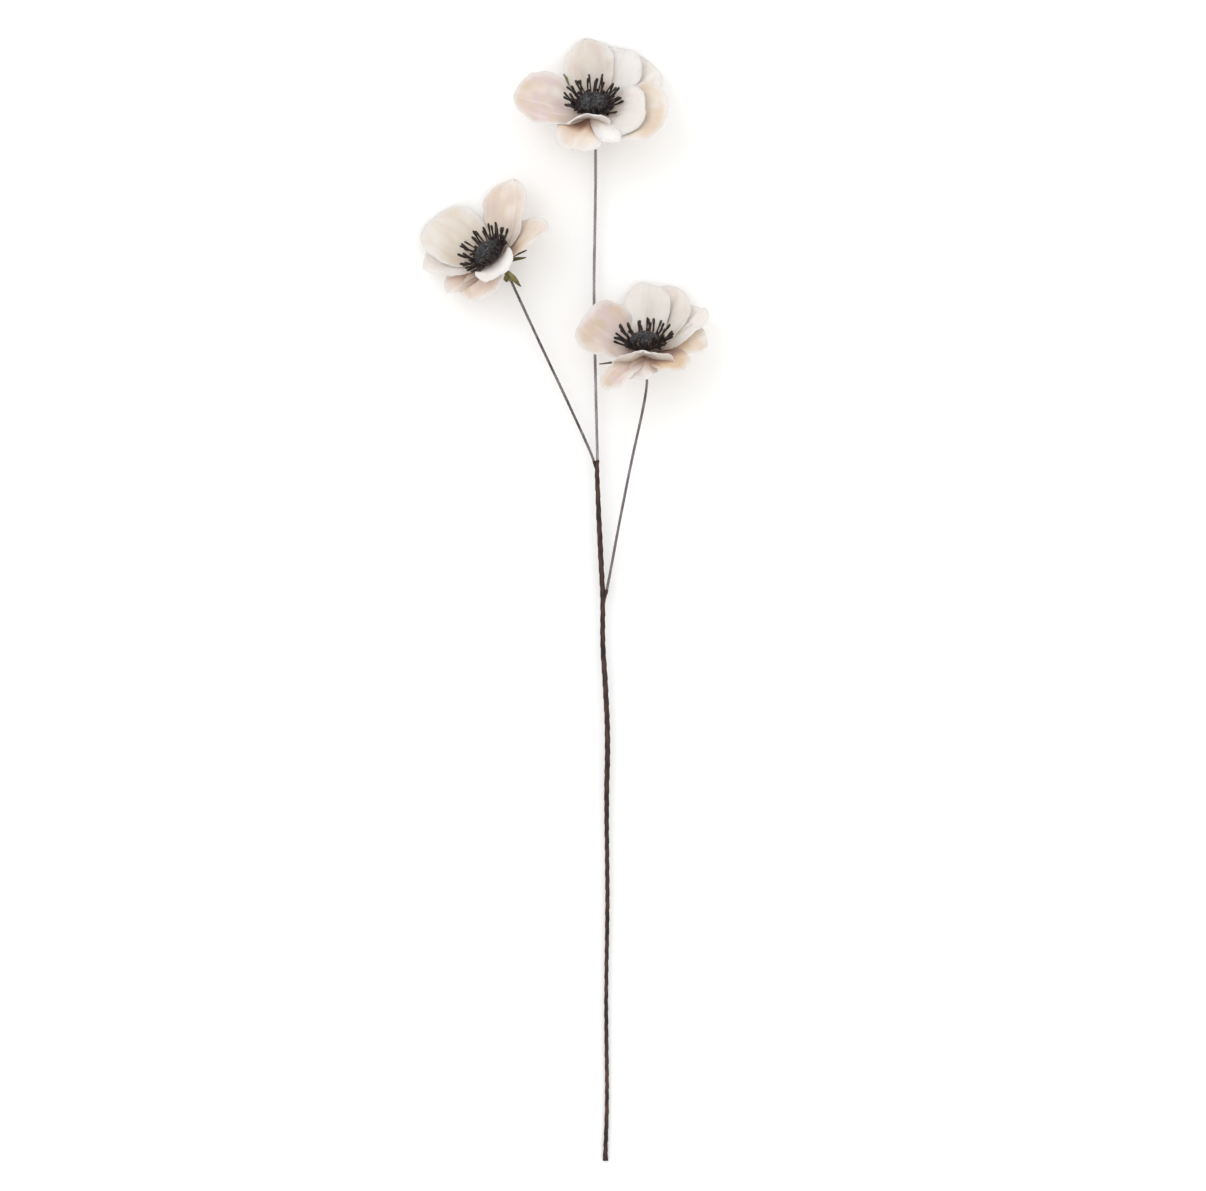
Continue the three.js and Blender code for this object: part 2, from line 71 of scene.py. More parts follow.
# The blooms. Tilt is how far a bloom's axis leans from straight up, and lean is the way it leans,
# anticlockwise from +X. A petal's turn is measured about the axis from that way, anticlockwise as well.
# Rise is a petal's climb in degrees at its root, middle and tip, and lay is its layer at the hub. Cup is how
# far its sides curl up and twist how far it has turned by its tip, both in degrees. Wave is how high its rim
# waves. Guard is the way that a folded petal stands, where the stamens stand up to clear it.
# Peach is how strongly a petal is sprayed, mauve how strong a second spray is, warmth how amber both the
# first spray and the root are, and reach how much further than usual the root's colour runs, in millimetres.
# The root's colour is partly spray and partly painted shade, so a longer reach paints shade further out.
# Creases are soft folds along the petal: where across it, from -1 to 1, how deep and how wide.
BLOOMS = {
    "top": {
        "centre": (19.6, 325.2, 18.3), "tilt": 40, "lean": 91, "guard": 168,
        "petals": [
            {"turn": 3, "long": 50, "wide": 33, "rise": (5, 31, 22), "cup": 22, "lay": 1, "peach": 0.5,
             "mauve": 0.35, "warmth": 0.45, "creases": [(0.4, -1.8, 0.13), (0.72, 0.9, 0.2)]},
            {"turn": -27, "long": 49, "wide": 40, "rise": (4, 28, 22), "cup": 18, "lay": 0, "peach": 0.05,
             "creases": [(-0.2, -0.9, 0.2)]},
            {"turn": -54, "long": 52, "wide": 41, "rise": (0, 21, 18), "cup": 16, "lay": -1, "peach": 0.2,
             "mauve": 0.35, "creases": [(0.1, -0.8, 0.2)]},
            {"turn": -114, "long": 53, "wide": 47, "rise": (5, 20, 22), "cup": 26, "twist": 24, "lay": -0.5,
             "peach": 0.8, "warmth": 0.45, "creases": [(-0.3, -1.0, 0.2)]},
            {"turn": -118, "long": 39, "wide": 40, "rise": (8, 25, 25), "cup": 20, "twist": 28, "lay": 0.5,
             "peach": 0.15, "mauve": 0.05, "warmth": 0.4,
             "creases": [(0.15, -0.9, 0.14), (-0.3, 0.7, 0.14)]},
            # The long reach and amber root paint the shade of the hollow under the folded petal.
            {"turn": 163, "long": 41, "wide": 35, "rise": (2, 14, -14), "cup": 19, "lay": -1, "peach": 0.6,
             "mauve": 0.5, "warmth": 0.75, "reach": 11, "creases": [(0.1, 1.4, 0.16), (-0.4, -0.9, 0.2)]},
            {"turn": 199, "long": 41, "wide": 17, "rise": (2, 19, 0), "cup": -14, "wave": 0.5, "lay": 1.2,
             "peach": 0.0, "creases": [(-0.2, 0.9, 0.2)]},
            {"turn": 88, "long": 51, "wide": 46, "rise": (4, 22, 16), "cup": 24, "twist": -10, "lay": 0,
             "peach": 1.1, "mauve": 1.1, "warmth": 0.0, "reach": -4,
             "creases": [(-0.1, -1.2, 0.16), (0.35, 0.8, 0.2)]},
            {"turn": 162, "long": 22, "wide": 34, "rise": (-18, 58, 44), "cup": -46, "twist": 24,
             "wave": 0.5, "lay": 1, "peach": 0.05, "mauve": 0.4, "warmth": 1.0, "reach": -30},
        ],
    },
    "left": {
        "centre": (-47.2, 226.5, 21.3), "tilt": 50, "lean": 132, "guard": 182,
        "petals": [
            {"turn": 18, "long": 52, "wide": 43, "rise": (8, 38, 34), "cup": 24, "wave": 0.1, "lay": 1,
             "peach": 0.65, "warmth": 0.5, "creases": [(0.45, -1.0, 0.2), (-0.3, 0.8, 0.25)]},
            {"turn": -61, "long": 53, "wide": 40, "rise": (4, 30, 22), "cup": 22, "lay": 0, "peach": 0.8,
             "mauve": 0.5, "warmth": 0.3, "reach": -4,
             "creases": [(-0.42, -1.7, 0.15), (-0.78, 1.4, 0.14), (0.3, -0.7, 0.2)]},
            {"turn": -113, "long": 44, "wide": 26, "rise": (0, 14, 4), "cup": 24, "lay": -1, "peach": 0.7,
             "mauve": 0.3, "warmth": 0.5, "reach": 8, "creases": [(0.0, -0.9, 0.25)]},
            {"turn": 45, "long": 48, "wide": 32, "rise": (4, 26, 20), "cup": 20, "lay": 0, "peach": 0.3,
             "mauve": 0.3},
            # The long reach paints the shade in the fold beside the eye.
            {"turn": 79, "long": 36, "wide": 26, "rise": (-2, 12, 2), "cup": 16, "lay": -1, "peach": 1.1,
             "mauve": 0.9, "warmth": 0.3, "reach": 14, "creases": [(0.2, -1.0, 0.2)]},
            {"turn": 131, "long": 32, "wide": 36, "rise": (-2, 6, -12), "cup": 22, "lay": -1, "peach": 1.2,
             "mauve": 0.8, "warmth": 0.2, "reach": 2, "creases": [(-0.1, 1.0, 0.2)]},
            {"turn": 174, "long": 29, "wide": 32, "rise": (4, 18, 6), "cup": 48, "lay": 1, "peach": 0.0,
             "reach": -8},
        ],
    },
    "right": {
        "centre": (53.6, 165.8, 28.5), "tilt": 58, "lean": 94, "guard": 178,
        "petals": [
            {"turn": 70, "long": 45, "wide": 50, "rise": (5, 33, 42), "cup": 20, "twist": -26, "lay": 1,
             "peach": 1.25, "mauve": 0.9, "warmth": 0.0, "creases": [(0.1, -0.8, 0.25)]},
            {"turn": -7, "long": 51, "wide": 32, "rise": (10, 38, 38), "cup": 14, "wave": 0.4, "lay": 0.5,
             "peach": 0.2, "warmth": 0.4, "creases": [(0.0, -1.3, 0.14), (-0.45, 0.8, 0.2)]},
            {"turn": -28, "long": 52, "wide": 38, "rise": (6, 34, 34), "cup": 16, "wave": 0.5, "lay": 0,
             "peach": 0.35, "mauve": 0.2, "warmth": 0.45, "creases": [(-0.2, -1.4, 0.14), (0.2, 0.7, 0.16)]},
            {"turn": -57, "long": 49, "wide": 37, "rise": (2, 26, 22), "cup": 20, "lay": -0.5, "peach": 0.2,
             "mauve": 0.3, "warmth": 0.4, "creases": [(0.1, -1.0, 0.2)]},
            {"turn": -85, "long": 41, "wide": 26, "rise": (-2, 14, 12), "cup": 20, "twist": 32, "lay": -1,
             "peach": 0.9, "warmth": 0.7, "reach": 8},
            {"turn": -137, "long": 34, "wide": 28, "rise": (-2, 4, -8), "cup": 20, "lay": -1, "peach": 1.4,
             "warmth": 0.6, "reach": 12, "creases": [(0.2, -0.8, 0.2)]},
            {"turn": 148, "long": 50, "wide": 21, "rise": (-4, 2, -10), "cup": 20, "lay": -1, "peach": 1.6,
             "mauve": 1.0, "warmth": 0.1, "reach": 8, "creases": [(0.1, -1.4, 0.22)]},
            {"turn": 167, "long": 29, "wide": 24, "rise": (-5, -10, -20), "cup": -20, "lay": 0, "peach": 0.1,
             "mauve": 0.5, "warmth": 0.8, "reach": 1},
            {"turn": 176, "long": 24, "wide": 42, "rise": (-30, 52, 42), "cup": -24, "wave": 0.5, "lay": 0,
             "peach": 0.35, "mauve": 0.1, "warmth": 0.7, "reach": -30,
             "creases": [(0.0, 2.2, 0.2), (0.52, -1.7, 0.26), (-0.52, -1.7, 0.26)]},
        ],
    },
}

# Each branch wire as a line from behind its bloom to the main stem.
WIRES = {
    "top": [
        (19.6, 323.7, 16.5), (19.8, 321.6, 13.6), (20.1, 315.5, 9.3), (20.7, 307.1, 7.4), (21.3, 297.0, 7.0),
        (21.0, 253.5, 6.8), (20.3, 206.7, 6.8), (21.6, 133.2, 7.4), (22.6, 93.0, 8.0),
    ],
    "left": [
        (-46.0, 225.2, 19.8), (-44.0, 223.1, 17.1), (-42.2, 221.2, 14.2), (-38.4, 217.9, 12.3),
        (-35.0, 212.0, 11.2), (-31.9, 205.3, 10.7), (-15.8, 170.6, 9.6), (4.3, 128.0, 8.6),
        (18.3, 97.0, 8.1), (20.0, 92.3, 8.1),
    ],
    "right": [
        (53.8, 163.9, 27.3), (54.4, 159.0, 24.2), (55.4, 150.2, 20.2), (55.2, 141.3, 18.3),
        (53.1, 128.0, 17.0), (44.9, 90.0, 13.7), (37.0, 50.0, 10.3), (30.5, 14.7, 7.2), (28.95, 6.9, 6.95),
    ],
}

# The calyxes: each a sleeve between two places on its wire, counted in the points above, with narrow
# leaves. At is a leaf's place on the wire, counted in the same way, and turn is the way it points round the
# wire. Its climb is towards the bloom, or back along the wire where it is negative. Curl is how far it bends
# towards the bloom by its tip, and brown is the share of its length from which it turns brown.
CALYXES = {
    "top": {
        "sleeve": (0.5, 2.0),
        "leaves": [
            {"at": 1.0, "turn": 29, "climb": 12, "long": 39, "wide": 5.0, "curl": 0, "brown": 0.95},
            {"at": 1.0, "turn": -60, "climb": -10, "long": 18, "wide": 4.5, "curl": -6},
            {"at": 1.2, "turn": -130, "climb": -24, "long": 16, "wide": 4.5, "curl": -12},
            {"at": 1.0, "turn": 100, "climb": -14, "long": 22, "wide": 4.5, "curl": -10},
            {"at": 1.4, "turn": 160, "climb": -34, "long": 14, "wide": 4.5, "curl": -14},
        ],
    },
    "left": {
        "sleeve": (0.5, 4.0),
        "leaves": [
            {"at": 1.0, "turn": -123, "climb": -13, "long": 18.5, "wide": 3.0, "curl": 0, "brown": 0.0},
            {"at": 1.0, "turn": -103, "climb": -15, "long": 20, "wide": 3.0, "curl": 0, "brown": 0.0},
            {"at": 1.0, "turn": 30, "climb": 4, "long": 15, "wide": 4.0, "curl": -6},
            {"at": 3.1, "turn": -155, "climb": -82, "long": 13, "wide": 3.4, "curl": 10},
            {"at": 3.3, "turn": 130, "climb": -62, "long": 5, "wide": 4.0, "curl": 20},
        ],
    },
    "right": {
        "sleeve": (0.5, 2.0),
        "leaves": [
            {"at": 1.0, "turn": 90, "climb": 0, "long": 29, "wide": 3.0, "curl": 0},
            {"at": 1.0, "turn": 40, "climb": -14, "long": 18, "wide": 4.5, "curl": -10},
            {"at": 1.2, "turn": -30, "climb": -20, "long": 16, "wide": 4.5, "curl": -10},
            {"at": 1.0, "turn": -85, "climb": -6, "long": 18, "wide": 4.5, "curl": -6},
            {"at": 1.4, "turn": 175, "climb": -20, "long": 9, "wide": 4.5, "curl": -14},
        ],
    },
}

# The main stem from its cut end to the fork, and the short taped ends that hold the other two wires:
# x, y, z and the radius there.
STEM = [
    (27.8, -375.0, 1.75, 1.85), (27.9, -370.0, 1.8, 1.45), (28.9, -334.8, 2.2, 1.3),
    (28.4, -267.9, 3.1, 1.3), (29.2, -201.1, 4.0, 1.4), (28.7, -134.2, 4.9, 1.6), (29.3, -94.1, 5.4, 1.85),
    (28.4, -67.4, 5.8, 1.75), (26.1, -27.3, 6.4, 1.65), (26.1, -0.5, 6.8, 1.7), (23.9, 46.3, 7.4, 1.7),
    (22.3, 87.7, 8.0, 1.5), (22.6, 92.7, 8.0, 1.15),
]
LEFT_STUB = [(22.3, 85.0, 8.0, 1.1), (21.3, 89.2, 8.0, 1.1), (20.13, 92.0, 8.1, 1.0)]
RIGHT_STUB = [(26.1, -3.0, 6.8, 1.2), (27.9, 3.0, 6.85, 1.2), (28.9, 6.6, 6.93, 1.0)]


# Meshes
def smooth(x, low, high):
    """Rises softly from 0 to 1 as x goes from low to high."""
    share = np.clip((x - low) / (high - low), 0, 1)
    return share * share * (3 - 2 * share)


def deselect():
    bpy.ops.object.select_all(action="DESELECT")


def pick(piece):
    """Selects one piece alone."""
    deselect()
    bpy.context.view_layer.objects.active = piece
    piece.select_set(True)


def points_of(piece):
    """A mesh's points, one to a row."""
    flat = np.empty(len(piece.data.vertices) * 3)
    piece.data.vertices.foreach_get("co", flat)
    return flat.reshape(-1, 3)


def put_points(piece, points):
    """Moves a mesh's points to places in millimetres."""
    piece.data.vertices.foreach_set("co", (np.asarray(points) * MM).ravel())
    piece.data.update()


def grid(name, across, along):
    """A flat grid, and the two coordinates of each of its points, from 0 to 1."""
    deselect()
    bpy.ops.mesh.primitive_grid_add(x_subdivisions=across, y_subdivisions=along, size=2)
    piece = bpy.context.object
    piece.name = name
    piece.data.name = name
    u, v, _ = (points_of(piece).T + 1) / 2
    return piece, u, v


def apply_modifiers(piece):
    pick(piece)
    for modifier in list(piece.modifiers):
        bpy.ops.object.modifier_apply(modifier=modifier.name)


def thicken(piece, thickness):
    """Gives a sheet its thickness, half to each side."""
    wall = piece.modifiers.new("thickness", "SOLIDIFY")
    wall.thickness = thickness * MM
    wall.offset = 0
    apply_modifiers(piece)


def store(piece, name, *values):
    """Keeps up to three numbers for each point of a mesh, for its material to read."""
    kept = np.zeros((len(piece.data.vertices), 3), np.float32)
    for column, value in enumerate(values):
        kept[:, column] = value
    attribute = piece.data.attributes.new(name, "FLOAT_VECTOR", "POINT")
    attribute.data.foreach_set("vector", kept.ravel())


def join(name, pieces):
    deselect()
    for piece in pieces:
        piece.select_set(True)
    bpy.context.view_layer.objects.active = pieces[0]
    bpy.ops.object.join()
    pieces[0].name = name
    pieces[0].data.name = name
    return pieces[0]


def settle(piece, material, node):
    """Gives a finished piece its material, smooth shading and its place on the root, and hides the solid it
    stands for.
    """
    piece.data.materials.clear()
    piece.data.materials.append(material)
    pick(piece)
    bpy.ops.object.shade_smooth()
    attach(piece, "root")
    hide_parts(node)


# Lines
LINE_STEP = 1e-3  # how far to each side of a place a line's direction is read, in points


def line_places(points, k):
    """Places on a smooth line, centripetal Catmull-Rom. A place is counted in points from the start."""
    points = np.asarray(points, float)[:, :3]
    padded = np.vstack([2 * points[0] - points[1], points, 2 * points[-1] - points[-2]])
    k = np.asarray(k, float)
    i = np.clip(np.floor(k).astype(int), 0, len(points) - 2)
    w = (k - i)[..., None]
    a, b, c, d = padded[i], padded[i + 1], padded[i + 2], padded[i + 3]
    ab, bc, cd = (np.linalg.norm(q - p, axis=-1, keepdims=True) ** 0.5 for p, q in ((a, b), (b, c), (c, d)))
    start = ((b - a) / ab - (c - a) / (ab + bc) + (c - b) / bc) * bc
    end = ((c - b) / bc - (d - b) / (bc + cd) + (d - c) / cd) * bc
    return b + start * w + (3 * (c - b) - 2 * start - end) * w**2 + (2 * (b - c) + start + end) * w**3


def unit(vectors):
    return vectors / np.linalg.norm(vectors, axis=-1, keepdims=True)


def line_frames(points, k):
    """The places, and the directions along the line, to its right and up, at those places."""
    along = unit(line_places(points, k + LINE_STEP) - line_places(points, k - LINE_STEP))
    right = unit(np.cross(along, (1.0, 0.0, 0.0)))
    return line_places(points, k), along, right, np.cross(right, along)


def walked(points):
    """How far along a line each of its points lies, in millimetres."""
    steps = np.linalg.norm(np.diff(np.asarray(points)[:, :3], axis=0), axis=1)
    return np.concatenate(((0.0,), np.cumsum(steps)))


def rolled_tube(name, points, span, radius_at, around, along):
    """A grid rolled round a line from place span[0] to span[1], with its rings evenly apart. radius_at
    takes the turn round the line and the way along it, each from 0 to 1."""
    piece, turn, share = grid(name, around, along)
    places = np.arange(len(points))
    far = walked(points)
    start, end = np.interp(span, places, far)
    k = np.interp(start + (end - start) * share, far, places)
    k = np.clip(k, 2 * LINE_STEP, places[-1] - 2 * LINE_STEP)
    centre, _, right, up = line_frames(points, k)
    radius = radius_at(turn, share)[:, None]
    angle = (2 * math.pi * turn)[:, None]
    put_points(piece, centre + radius * (right * np.cos(angle) + up * np.sin(angle)))
    bpy.ops.object.mode_set(mode="EDIT")
    bpy.ops.mesh.select_all(action="SELECT")
    bpy.ops.mesh.remove_doubles(threshold=1e-6)
    bpy.ops.mesh.fill_holes(sides=0)
    bpy.ops.mesh.normals_make_consistent(inside=False)
    bpy.ops.object.mode_set(mode="OBJECT")
    return piece


# A bloom's frame
def bloom_frame(bloom):
    tilt, lean = math.radians(bloom["tilt"]), math.radians(bloom["lean"])
    far = np.array((math.cos(tilt) * math.cos(lean), math.cos(tilt) * math.sin(lean), -math.sin(tilt)))
    axis = np.array((math.sin(tilt) * math.cos(lean), math.sin(tilt) * math.sin(lean), math.cos(tilt)))
    return np.array((far, np.cross(axis, far), axis)), np.array(bloom["centre"])


def in_bloom(points, bloom):
    turned, centre = bloom_frame(bloom)
    return np.asarray(points) @ turned + centre


def lay_down(points):
    """What would reach below the surface is pressed flat on it, with a soft bend."""
    points[:, 2] = LYING + LYING_BEND * np.logaddexp(0, (points[:, 2] - LYING) / LYING_BEND)
    return points


# Petals
WIDEST = 0.62  # the share of a petal's length where it is widest
ROUND_FROM = 0.55  # the share of its length from which its rim counts as round
ROOT_SHARE = 0.3  # a petal's width at its root, as a share of its full width
ROOT_RADIUS = 2.0
ROOT_HEIGHT = -0.7  # of the middle layer's petals
LAYER_STEP = 1.0
PLAIN_WAVE = 0.8
PETAL_ACROSS = 48
PETAL_ALONG = 64
ROWS_BELOW_WIDEST = 0.55  # as a share of all rows
TIP_ANGLE = math.radians(86)  # how far round its end a petal's rim is followed
PATTERN_STEP = 40.0  # how far apart the petals are cut from the sprayed cloth's pattern
SPRAYS = {"peach": 0, "mauve": 0, "warmth": 0.15}  # each with its value where a petal gives none


def half_width(petal, s):
    below = ROOT_SHARE + (1 - ROOT_SHARE) * np.sin(math.pi / 2 * np.minimum(s / WIDEST, 1))
    beyond = np.clip((s - WIDEST) / (1 - WIDEST), 0, 1)
    return petal["wide"] / 2 * np.where(s <= WIDEST, below, (1 - beyond**2.2) ** (1 / 2.2))


def rise_at(petal, s):
    root, middle, tip = petal["rise"]
    return np.radians(root + (middle - root) * smooth(s, 0.1, 0.45) + (tip - middle) * smooth(s, 0.5, 1))


def midline(petal, s):
    """How far out and how high the middle line of a petal is."""
    steps = 24
    out = np.full_like(s, ROOT_RADIUS)
    up = np.full_like(s, petal["lay"] * LAYER_STEP + ROOT_HEIGHT)
    for k in range(steps):
        angle = rise_at(petal, s * (k + 0.5) / steps)
        out += petal["long"] * s / steps * np.cos(angle)
        up += petal["long"] * s / steps * np.sin(angle)
    return out, up


def rim_distance(petal, s, across):
    """How far each point is from the petal's cut edge, on the flat cloth."""
    round_end = np.sin(np.linspace(0, math.pi / 2, 60))
    edge_s = np.concatenate([np.linspace(0.05, WIDEST, 60), WIDEST + (1 - WIDEST) * round_end])
    edge_x, edge_y = half_width(petal, edge_s), petal["long"] * edge_s
    away = np.hypot(np.abs(across)[:, None] - edge_x, (petal["long"] * s)[:, None] - edge_y)
    return away.min(axis=1)


def petal_points(petal, s, t, bulge):
    """Where a petal's points lie in its bloom. s runs from root to tip, and t from -1 to 1 across."""
    out, up = midline(petal, s * bulge)
    rise, turn = rise_at(petal, s), math.radians(petal["turn"])
    roll = np.radians(petal.get("twist", 0) * s)[:, None]
    axis = np.array((0.0, 0.0, 1.0))
    radial = np.array((math.cos(turn), math.sin(turn), 0.0))
    across = np.array((-math.sin(turn), math.cos(turn), 0.0))
    inner = axis * np.cos(rise)[:, None] - radial * np.sin(rise)[:, None]
    side = across * np.cos(roll) + inner * np.sin(roll)
    face = inner * np.cos(roll) - across * np.sin(roll)
    bend = math.radians(petal["cup"]) * smooth(s, 0, 0.5) * (1 - 0.5 * smooth(s, 0.55, 1)) + 1e-3
    half = half_width(petal, s)
    x, y = 2 * half * t / petal["wide"], (s - ROUND_FROM) / (1 - ROUND_FROM)
    round_rim = np.hypot(x, y * smooth(y, -0.4, 0.2))
    way = np.arctan2(x, y)
    wave = np.sin(5 * way + math.radians(petal["turn"] * 3)) * smooth(round_rim, 0.35, 1)
    lift = petal.get("wave", PLAIN_WAVE) * wave + cloth_detail(petal, s, t, round_rim, way)
    return (
        radial * out[:, None]
        + axis * up[:, None]
        + side * (half * np.sin(bend * t) / bend)[:, None]
        + face * (half * (1 - np.cos(bend * t)) / bend + lift)[:, None]
    )


def cloth_detail(petal, s, t, round_rim, way):
    """What pressing and handling add to the plain petal: folds, gathers at the root and a loose rim."""
    body = smooth(s, 0.08, 0.35) * (1 - 0.7 * smooth(s, 0.7, 1))
    folds = sum(depth * np.exp(-(((t - at) / wide) ** 2)) for at, depth, wide in petal.get("creases", []))
    phase = petal["turn"] * 0.7
    gathers = 0.22 * np.sin(9 * t + phase) * (1 - smooth(s, 0.15, 0.5))
    ribs = 0.10 * np.sin(17 * t + phase) * smooth(s, 0.2, 0.5) * (1 - smooth(round_rim, 0.75, 1))
    loose = 0.30 * np.sin(11 * way + phase) + 0.18 * np.sin(23 * way + 2.3 * phase)
    drooped = 0.5 * smooth(round_rim, 0.86, 1.02)
    return folds * body + gathers + ribs + loose * smooth(round_rim, 0.7, 1) - drooped


def make_petal(name, bloom, petal, number, material, node):
    piece, u, v = grid(name, PETAL_ACROSS, PETAL_ALONG)
    t = 2 * u - 1
    beyond = np.clip((v - ROWS_BELOW_WIDEST) / (1 - ROWS_BELOW_WIDEST), 0, 1)
    s = np.where(v < ROWS_BELOW_WIDEST, v / ROWS_BELOW_WIDEST * WIDEST,
                 WIDEST + (1 - WIDEST) * np.sin(beyond * TIP_ANGLE))
    # The cut edge wanders by up to a millimetre, with flat and bluntly pointed places.
    wander = 0.035 * np.sin(8 * s + 2.1 * number + t) * smooth(s, 0.2, 0.5)
    nicks = 0.01 * np.sin(29 * s + 2 * number + 2 * t)
    from_middle = 2 * half_width(petal, s) * t / petal["wide"]
    bulge = 1 + 0.022 * np.sin(3.4 * from_middle + 1.7 * number) * smooth(s, 0.5, 1)
    put_points(piece, lay_down(in_bloom(petal_points(petal, s, t * (1 + wander + nicks), bulge), bloom)))
    across = half_width(petal, s) * t
    store(piece, "cloth", across, petal["long"] * s, PATTERN_STEP * number)
    store(piece, "petal", t * petal["wide"] / 2, rim_distance(petal, s, across), petal.get("reach", 0))
    store(piece, "spray", *(petal.get(key, plain) for key, plain in SPRAYS.items()))
    thicken(piece, CLOTH_THICKNESS)
    settle(piece, material, node)


def make_hub(name, bloom, material, node):
    """The moulded disc that the petals are glued on, under the eye."""
    deselect()
    bpy.ops.mesh.primitive_cylinder_add(
        vertices=40, radius=HUB_RADIUS * MM, depth=(HUB_TOP - HUB_BOTTOM) * MM)
    piece = bpy.context.object
    piece.name = name
    bevel = piece.modifiers.new("rounding", "BEVEL")
    bevel.width = HUB_ROUNDING * MM
    bevel.segments = 4
    apply_modifiers(piece)
    points = points_of(piece) / MM
    points[:, 2] += (HUB_TOP + HUB_BOTTOM) / 2
    put_points(piece, in_bloom(points, bloom))
    settle(piece, material, node)


# The eye
PAD_SEED = 1
CRINKLE = 2.1  # how wide the pad's crinkles are
SWELL = 3.4  # how wide the softer swellings under them are
STAMEN_SEED = 7
STAMENS = 84
STAMEN_ROOT = 8.6  # how far from the bloom's axis a stamen starts
# The kinds of stamen, in turn: how far out and how high the tip is, and how thick it is. Some are long and
# low, some stand up, and short ones make a dense skirt under the pad's rim.
STAMEN_KINDS = (
    (19.6, 9.0, 0.68), (13.5, 4.2, 0.75), (18.4, 13.0, 0.68),
    (14.5, 7.0, 0.7), (15.0, 14.6, 0.66), (13.5, 5.0, 0.75),
)
# A stamen from its root up, in steps: how far up, and how much wider than the last.
STAMEN_RINGS = (
    (0.14, 0.95), (0.14, 0.93), (0.14, 0.97), (0.14, 1.0), (0.12, 1.08), (0.08, 1.2), (0.06, 1.12),
    (0.06, 1.04), (0.06, 0.97), (0.04, 0.85), (0.03, 0.65),
)


def make_pad(name, bloom, seed, material, node):
    """The domed pad in the middle, crinkled like crushed paper."""
    deselect()
    bpy.ops.mesh.primitive_uv_sphere_add(segments=120, ring_count=64, radius=1)
    piece = bpy.context.object
    piece.name = name
    ball = points_of(piece)
    flatness = np.hypot(ball[:, 0], ball[:, 1])
    fuller = np.where(ball[:, 2] < 0, flatness**0.6, flatness) / np.maximum(flatness, 1e-6)
    tall = np.where(ball[:, 2] < 0, EYE_WAIST, EYE_HEIGHT - EYE_WAIST)
    points = np.column_stack([
        ball[:, 0] * fuller * EYE_RADIUS, ball[:, 1] * fuller * EYE_RADIUS,
        ball[:, 2] * tall + EYE_WAIST + EYE_FLOOR])
    shift = Vector((31.0 * seed, 17.0 * seed, 0))
    crumple = np.empty(len(points))
    for i, point in enumerate(points):
        place = Vector(point) + shift
        near, _ = noise.voronoi(place / CRINKLE)
        crumple[i] = 0.9 * min(near[1] - near[0], 0.5) + 0.6 * noise.noise(place / SWELL) - 0.35
    points += ball * (crumple * smooth(ball[:, 2], -0.9, -0.2))[:, None]
    put_points(piece, in_bloom(points, bloom))
    settle(piece, material, node)


def stamen_pattern():
    """One straight stamen, 1 unit high and 1 thick: a filament that swells into a blunt anther."""
    deselect()
    bpy.ops.mesh.primitive_cylinder_add(vertices=10, radius=1, depth=0.001, end_fill_type="NGON")
    piece = bpy.context.object
    bpy.ops.object.mode_set(mode="EDIT")
    bpy.context.tool_settings.mesh_select_mode = (False, False, True)
    bpy.ops.mesh.select_all(action="DESELECT")
    bpy.ops.object.mode_set(mode="OBJECT")
    for face in piece.data.polygons:
        face.select = face.normal.z > 0.5
    bpy.ops.object.mode_set(mode="EDIT")
    for climb, widen in STAMEN_RINGS:
        bpy.ops.mesh.extrude_region_move(TRANSFORM_OT_translate={"value": (0, 0, climb)})
        bpy.ops.transform.resize(value=(widen, widen, 1))
    bpy.ops.mesh.select_all(action="SELECT")
    bpy.ops.mesh.normals_make_consistent(inside=False)
    bpy.ops.object.mode_set(mode="OBJECT")
    return piece


def make_stamens(name, bloom, seed, pattern, material, node):
    """A ring of stamens, each bent from the pattern, and standing up where a folded petal is in the way."""
    draw = random.Random(seed)
    guard = math.radians(bloom["guard"])
    straight = points_of(pattern)
    u = straight[:, 2:] / straight[:, 2].max()
    made = []
    for k in range(STAMENS):
        turn = 2 * math.pi * (k + 2.2 * (draw.random() - 0.5)) / STAMENS
        reach, height, radius = STAMEN_KINDS[k % len(STAMEN_KINDS)]
        stand = float(smooth((1 + math.cos(turn - guard)) / 2, 0.75, 0.98))
        reach += 3.0 * (draw.random() - 0.5) - stand * (reach - 12.2)
        height += 3.4 * (draw.random() - 0.5) + stand * (min(13, height + 4) - height)
        sway = 4.4 * (draw.random() - 0.5)
        hook = 2.6 * (draw.random() - 0.3) if height > 8 else 0.3
        root = np.array((STAMEN_ROOT, 0.0, 2.8 + 1.2 * draw.random()))
        tip = np.array((reach, sway, height))
        bent = (root + tip) / 2 + np.array((0.8, -0.4 * sway, -hook))
        centre = (1 - u) ** 2 * root + 2 * u * (1 - u) * bent + u**2 * tip
        along = unit(2 * (1 - u) * (bent - root) + 2 * u * (tip - bent))
        right = unit(np.cross(along, (0.0, 1.0, 0.0)))
        up = np.cross(right, along)
        thick = radius * (0.9 + 0.25 * draw.random())
        points = centre + thick * (right * straight[:, :1] + up * straight[:, 1:2])
        cosine, sine = math.cos(turn), math.sin(turn)
        points = points @ np.array(((cosine, sine, 0.0), (-sine, cosine, 0.0), (0.0, 0.0, 1.0)))
        copy = pattern.copy()
        copy.data = pattern.data.copy()
        bpy.context.collection.objects.link(copy)
        put_points(copy, in_bloom(points, bloom))
        store(copy, "stamen", u[:, 0], draw.random())
        made.append(copy)
    settle(join(name, made), material, node)


# The calyx
PLAIN_BROWN = 0.6
LEAF_ACROSS = 12
LEAF_ALONG = 28
LEAF_WIDEST = 0.4  # the share of a leaf's length where it is widest
LEAF_TIP = 0.25  # half of a leaf's width at its tip
SLEEVE_AROUND = 36
SLEEVE_ALONG = 28
SLEEVE_RIBS = 6


